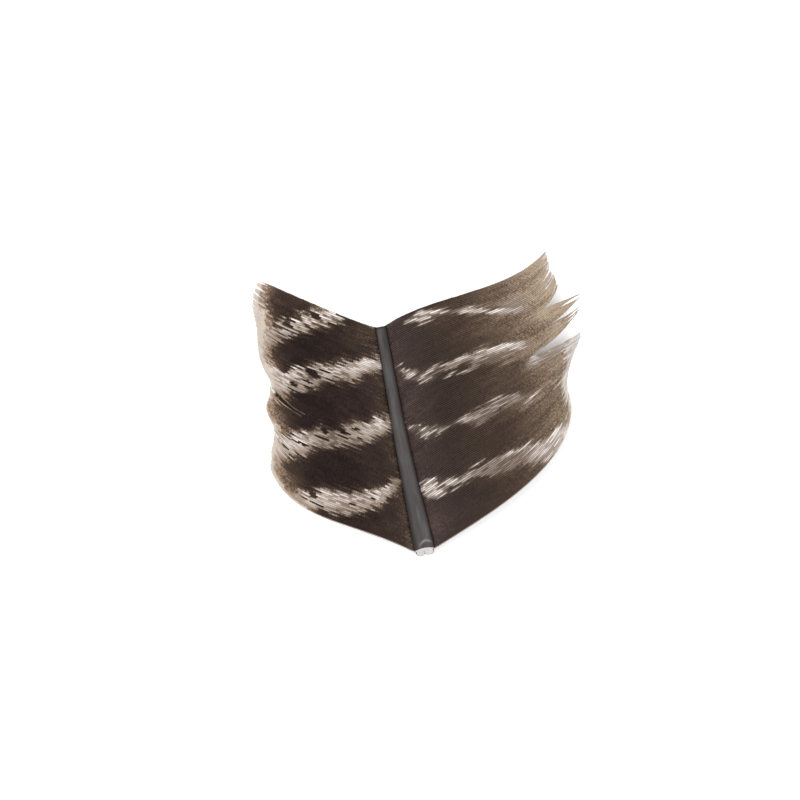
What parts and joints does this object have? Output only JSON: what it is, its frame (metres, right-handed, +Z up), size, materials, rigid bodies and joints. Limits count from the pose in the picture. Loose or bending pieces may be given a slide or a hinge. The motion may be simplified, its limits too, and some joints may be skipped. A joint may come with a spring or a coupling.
{
  "type": "cut section of a barred turkey wing feather",
  "caption": "Short length cut from a barred turkey wing feather: a grey quill with a brown vane on each side, crossed by pale bars, its outer edge parted into locks.",
  "frame": {"origin": "under the middle of the feather's bounding box, on the surface it lies on", "axes": "+Y along the shaft towards the feather's tip, +X across the wider vane, +Z up out of the feather's upper side"},
  "size_m": [0.0744, 0.0666, 0.0054],
  "materials": {
    "quill": "satin grey-brown keratin with fine lengthwise lines",
    "pith": "matt white foam-like pith, seen on the cut ends",
    "barbs": "dark brown barbs with streaked off-white bars and a pale, tan-tipped edge"
  },
  "bodies": {
    "root": {"shaft": "quill", "left_vane": "barbs", "right_vane": "barbs"}
  },
  "joints": []
}
